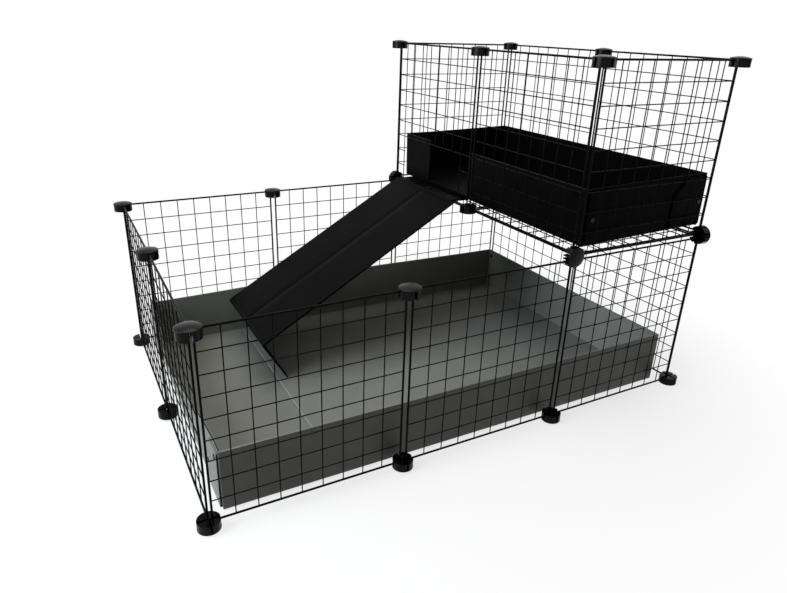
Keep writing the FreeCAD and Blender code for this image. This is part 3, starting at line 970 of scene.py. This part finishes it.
@dataclass
class StrapTies:
    """Nylon strap ties round the flap and the doorway's lower wire, each with a lock head and a cut tail."""

    places: tuple[float, ...] = (84 * MM, 184 * MM, 284 * MM)
    wire: tuple[float, float] = (184 * MM, 383.5 * MM)
    half_loop: float = 6 * MM
    top: float = 6.25 * MM
    bottom: float = -2.1 * MM
    strap: float = 1.2 * MM
    width: float = 3.6 * MM
    corner: float = 1.6 * MM
    head: Triple = (3.6 * MM, 4.6 * MM, 4.6 * MM)
    head_steps: tuple[int, int] = (33, 17)
    head_power: float = 0.35
    corner_steps: int = 6

    def loop(self) -> list[Shell]:
        """The strap: a rounded rectangle as the path, with a flat strip carried along it.

        Returns:
            The strap's surfaces, about the wire.
        """
        half, rise, drop = self.half_loop, self.top + self.strap / 2, self.bottom - self.strap / 2
        corners = np.array([
            [0.0, drop], [half, drop], [half, rise], [-half, rise], [-half, drop], [0.0, drop],
        ])
        path = rounded_path(corners, self.corner, self.corner_steps)
        side = path_normals(path)
        y = np.array([-0.5, -0.36, 0.36, 0.5]) * self.width
        # The strap thins towards its two long edges
        thin = np.array([0.75, 1.0, 1.0, 0.75])
        middle = carried(path, y)
        normal = carried(side, np.zeros(len(y))) * thin[None, :, None]
        return slab(middle, normal, middle[..., :2], thickness=self.strap)

    def lock_head(self) -> list[Shell]:
        """The lock head: a superellipsoid, each coordinate a signed power of a sine or cosine.

        Returns:
            The head's surface, beside the strap's lower left.
        """
        turn, tilt = sphere_angles(*self.head_steps)
        size = np.array(self.head) / 2
        waves = np.stack([np.cos(tilt), np.sin(tilt), np.cos(turn), np.sin(turn)])
        level, rise, east, north = np.sign(waves) * np.abs(waves) ** self.head_power
        ball = np.stack([level * east, level * north, rise], axis=-1)
        middle = np.array([
            -self.half_loop - self.strap / 2 - size[0], 0.0, self.bottom - self.strap + size[2],
        ])
        return [grid_shell(ball * size + middle, np.stack([turn, tilt], axis=-1) * MM)]

    def build(self, material: Material) -> Object:
        """Makes all the ties as one piece.

        Args:
            material: the nylon finish.

        Returns:
            The ties' object.
        """
        one = self.loop() + self.lock_head()
        shells = [
            shell.moved(np.eye(3), np.array([self.wire[0], place, self.wire[1]]))
            for place in self.places
            for shell in one
        ]
        obj = piece("ramp_strap_ties", shells, material)
        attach(obj, "cage")
        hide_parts("ramp_ties")
        return obj


@dataclass
class WirePanels:
    """The welded panels: their CAD wires with a coat, and the beads of coat at the welded crossings."""

    nodes: tuple[str, ...]
    bead: Triple = (1.45 * MM, 1.45 * MM, 1.3 * MM)
    bead_steps: tuple[int, int] = (9, 5)
    door_node: str = "loft_doorway_panel"
    door_columns: tuple[int, int] = (1, 8)
    door_rows: int = 3

    def crossings(self, node: str) -> tuple[np.ndarray, int]:
        """Points where a panel's thin wires cross, worked out from the panel's box.

        Args:
            node: the panel's name.

        Returns:
            The crossings, and the axis that the panel faces along.
        """
        low, high = (np.array(corner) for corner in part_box(node))
        centre, thin = (low + high) / 2, int(np.argmin(high - low))
        across, up = [axis for axis in range(3) if axis != thin]
        steps = (np.arange(1, PANEL_CELLS) / PANEL_CELLS - 0.5) * PANEL_SIDE
        first, second = np.meshgrid(np.arange(1, PANEL_CELLS), np.arange(1, PANEL_CELLS), indexing="ij")
        keep = np.ones(first.shape, dtype=bool)
        if node == self.door_node:
            left, right = self.door_columns
            keep = ~((second < self.door_rows) & (first > left) & (first < right))
        points = np.tile(centre, (int(keep.sum()), 1))
        points[:, across] += steps[first[keep] - 1]
        points[:, up] += steps[second[keep] - 1]
        return points, thin

    def beads(self) -> list[Shell]:
        """A small ellipsoid at each crossing: cosines and sines of two angles, times three half sizes.

        Returns:
            The surfaces of all the beads.
        """
        turn, tilt = sphere_angles(*self.bead_steps)
        sphere = np.stack([np.cos(tilt) * np.cos(turn), np.cos(tilt) * np.sin(turn), np.sin(tilt)], axis=-1)
        shells = []
        for node in self.nodes:
            points, thin = self.crossings(node)
            size = np.roll(np.array(self.bead), (thin + 1) % 3)
            ball = grid_shell(sphere * size, np.zeros(sphere.shape[:2] + (2,)))
            count, each = len(points), len(ball.points)
            cloud = (points[:, None, :] + ball.points[None, :, :]).reshape(-1, 3)
            quads = (np.arange(count)[:, None, None] * each + ball.quads[None]).reshape(-1, 4)
            shells.append(Shell(cloud, quads, np.zeros((len(cloud), 2)), np.zeros(len(cloud))))
        return shells

    def build(self, material: Material) -> Object:
        """Dresses the panels and adds the beads.

        Args:
            material: the coat.

        Returns:
            The beads' object.
        """
        dress(self.nodes, material)
        obj = piece("panel_weld_beads", self.beads(), material, sharp_deg=80)
        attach(obj, "cage")
        return obj


def stand(name: str, data: ID, axes: np.ndarray, place: Sequence[float]) -> Object:
    """Puts a camera or a lamp in the scene.

    Args:
        name: the object's name.
        data: the camera or lamp.
        axes: its own axes as the columns of a matrix.
        place: where it stands.

    Returns:
        The new object.
    """
    obj = bpy.data.objects.new(name, data)
    matrix = np.eye(4)
    matrix[:3, :3], matrix[:3, 3] = axes, place
    obj.matrix_world = Matrix(matrix.tolist())
    bpy.context.scene.collection.objects.link(obj)
    return obj


@dataclass(frozen=True)
class PhotoCamera:
    """The camera at the photograph's place: its rows are the picture's right, down and forward."""

    eye: Triple = (-0.68911, -1.22766, 0.78274)
    right: Triple = (0.88176, -0.47076, 0.02973)
    down: Triple = (-0.16111, -0.35981, -0.91901)
    forward: Triple = (0.44333, 0.80556, -0.39312)
    focal_px: float = 635.58
    sensor_mm: float = 36.0

    def build(self) -> Object:
        """Makes the camera and returns its object."""
        data = bpy.data.cameras.new("photo_camera")
        data.sensor_fit = "HORIZONTAL"
        data.sensor_width = self.sensor_mm
        data.lens = self.sensor_mm * self.focal_px / PHOTO_WIDTH
        data.clip_end = 50.0
        axes = np.array([self.right, -np.array(self.down), -np.array(self.forward)]).T
        obj = stand("photo_camera", data, axes, self.eye)
        bpy.context.scene.camera = obj
        return obj


@dataclass(frozen=True)
class Softbox:
    """One soft studio lamp that faces a point."""

    name: str
    place: Triple
    target: Triple
    size: tuple[float, float]
    watts: float
    colour: str = "#ffffff"

    def build(self) -> Object:
        """Makes the lamp and returns its object."""
        data = bpy.data.lights.new(self.name, "AREA")
        data.shape = "RECTANGLE"
        data.size, data.size_y = self.size
        data.energy = self.watts
        data.color = linear(self.colour)[:3]
        back = unit(np.array(self.place) - np.array(self.target))
        side = unit(np.cross((0.0, 0.0, 1.0), back))
        return stand(self.name, data, np.array([side, np.cross(back, side), back]).T, self.place)


@dataclass
class Studio:
    """A pale floor and backdrop, soft lamps and an even world."""

    floor_half: float = 30.0
    floor_level: float = -0.2 * MM
    floor_pale: str = "#f6f6f6"
    floor_bounce: str = "#484848"
    near_glow: float = 0.72
    near: float = 0.55
    far: float = 1.0
    ambient: float = 0.06
    lamps: tuple[Softbox, ...] = field(default_factory=lambda: (
        Softbox("left_window", (-2.6, -0.05, 1.5), (0.1, 0.0, 0.25), (2.0, 2.0), 118.0, "#eef4ff"),
        Softbox("top_softbox", (-0.3, 0.4, 3.0), (-0.1, 0.0, 0.2), (2.4, 2.4), 50.0, "#fffaf0"),
    ))

    def seen_directly(self, graph: NodeGraph) -> NodeSocket:
        """A mask that is 1 on rays from the camera and from glossy or clear surfaces, and 0 on others.

        Args:
            graph: the node tree that gets the mask.

        Returns:
            The mask's socket.
        """
        rays = graph.add_node("ShaderNodeLightPath").outputs
        first = graph.math("MAXIMUM", i0=rays["Is Camera Ray"], i1=rays["Is Glossy Ray"])
        return graph.math("MAXIMUM", i0=first, i1=rays["Is Transmission Ray"])

    def floor(self) -> Object:
        """A large pale floor that keeps the object's shadow and looks white far from it; returns its object.

        Its own white share grows evenly with the distance from the object's middle. It sends little light
        back up, so that the walls facing it stay dark.
        """
        line = np.array([-self.floor_half, 0.0, self.floor_half])
        x, y = np.meshgrid(line, line, indexing="ij")
        material = bpy.data.materials.new("pale_studio_floor")
        graph = NodeGraph(material)
        place = graph.add_node("ShaderNodeTexCoord").outputs["Object"]
        away = graph.add_node("ShaderNodeVectorMath", {"operation": "LENGTH"}, i0=place).outputs["Value"]
        share = graph.mapped(away, self.near_glow, 1.0, From_Min=self.near, From_Max=self.far)
        matt, bounce = (
            graph.add_node("ShaderNodeBsdfDiffuse", Color=linear(colour)).outputs[0]
            for colour in (self.floor_pale, self.floor_bounce)
        )
        glow = graph.add_node("ShaderNodeEmission", Color=WHITE, Strength=1.0).outputs[0]
        seen = graph.add_node("ShaderNodeMixShader", i0=share, i1=matt, i2=glow).outputs[0]
        mixed = graph.add_node("ShaderNodeMixShader", i0=self.seen_directly(graph), i1=bounce, i2=seen)
        graph.add_node("ShaderNodeOutputMaterial", Surface=mixed.outputs[0])
        points = np.stack([x, y, np.full_like(x, self.floor_level)], axis=-1)
        obj = piece("studio_floor", [grid_shell(points, points[..., :2])], material)
        return obj

    def world(self) -> None:
        """Makes a world that lights evenly and looks white."""
        world = bpy.data.worlds.new("studio_world")
        bpy.context.scene.world = world
        graph = NodeGraph(world)
        even, white = (
            graph.add_node("ShaderNodeBackground", Color=WHITE, Strength=strength).outputs[0]
            for strength in (self.ambient, 1.0)
        )
        mixed = graph.add_node("ShaderNodeMixShader", i0=self.seen_directly(graph), i1=even, i2=white)
        graph.add_node("ShaderNodeOutputWorld", Surface=mixed.outputs[0])

    def build(self) -> None:
        """Makes the floor, the world and the lamps."""
        self.floor()
        self.world()
        for lamp in self.lamps:
            lamp.build()
        bpy.context.scene.view_settings.view_transform = "Standard"


def node_frame(x: float, y: float, z: float) -> Triple:
    """Turns a point from the front left meeting point, in millimetres, into the cage's frame.

    Args:
        x: distance along the front.
        y: distance to the back.
        z: height.

    Returns:
        The point in metres.
    """
    return (x * MM - 1.5 * PITCH, y * MM - PITCH, z * MM)


def main() -> None:
    """Builds and dresses the cage, its stage and its camera."""
    logging.basicConfig(level=logging.INFO, format="%(name)s: %(message)s")
    wire = CoatedWire().make()
    connector = MouldedPlastic(
        "moulded_abs_connectors", "#020202", "#050506", rough_low=0.16, rough_high=0.3, reflection=0.1
    ).make()
    nylon = MouldedPlastic(
        "moulded_nylon_fasteners", "#060606", "#0c0c0d", rough_low=0.3, rough_high=0.45, reflection=0.22
    ).make()
    grey = FlutedSheet(
        "grey_twin_wall_polypropylene", "#6b6d67", "#747670", crease="#c9cbc6",
        rough_low=0.4, rough_high=0.55, reflection=0.5,
    ).make()
    # The black sheet's crease colour also paints a highlight along the ramp's middle groove
    black = FlutedSheet(
        "black_twin_wall_polypropylene", "#020202", "#050505", crease="#161617",
        rough_low=0.42, rough_high=0.56, reflection=0.02,
    ).make()
    panels = tuple(sorted(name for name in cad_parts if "panel" in name))
    connectors = sorted(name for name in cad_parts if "connector" in name)
    dress(connectors, connector)
    dress(["base_tray_rivets", "loft_tray_rivets"], nylon)
    dress(["ramp_hinge_flap"], black)
    base_tray = FoldedTray(
        "base_tray_sheet", "base_tray", "cage", "grey_fluted_sheet", length=1048 * MM, width=680 * MM,
        centre=node_frame(556, 372, 0), scores=(-298 * MM,), bulges=(14 * MM, 19 * MM, 0.0, -3 * MM),
    )
    loft_tray = FoldedTray(
        "loft_tray_sheet", "loft_tray", "loft_tray", "black_fluted_sheet", length=704 * MM, width=339 * MM,
        centre=node_frame(927.5, 362, 394), quarter_turns=1, tilt_deg=1.3, wall=115 * MM,
        notch=(48 * MM, 228 * MM, 10 * MM),
    )
    made = [
        WirePanels(panels).build(wire), base_tray.build(grey), loft_tray.build(black),
        *Ramp().build(black), StrapTies().build(nylon),
    ]
    for obj in made:
        log.info("%s has %d faces", obj.name, len(obj.data.polygons))
    Studio().build()
    PhotoCamera().build()


if __name__ == "__main__":
    main()
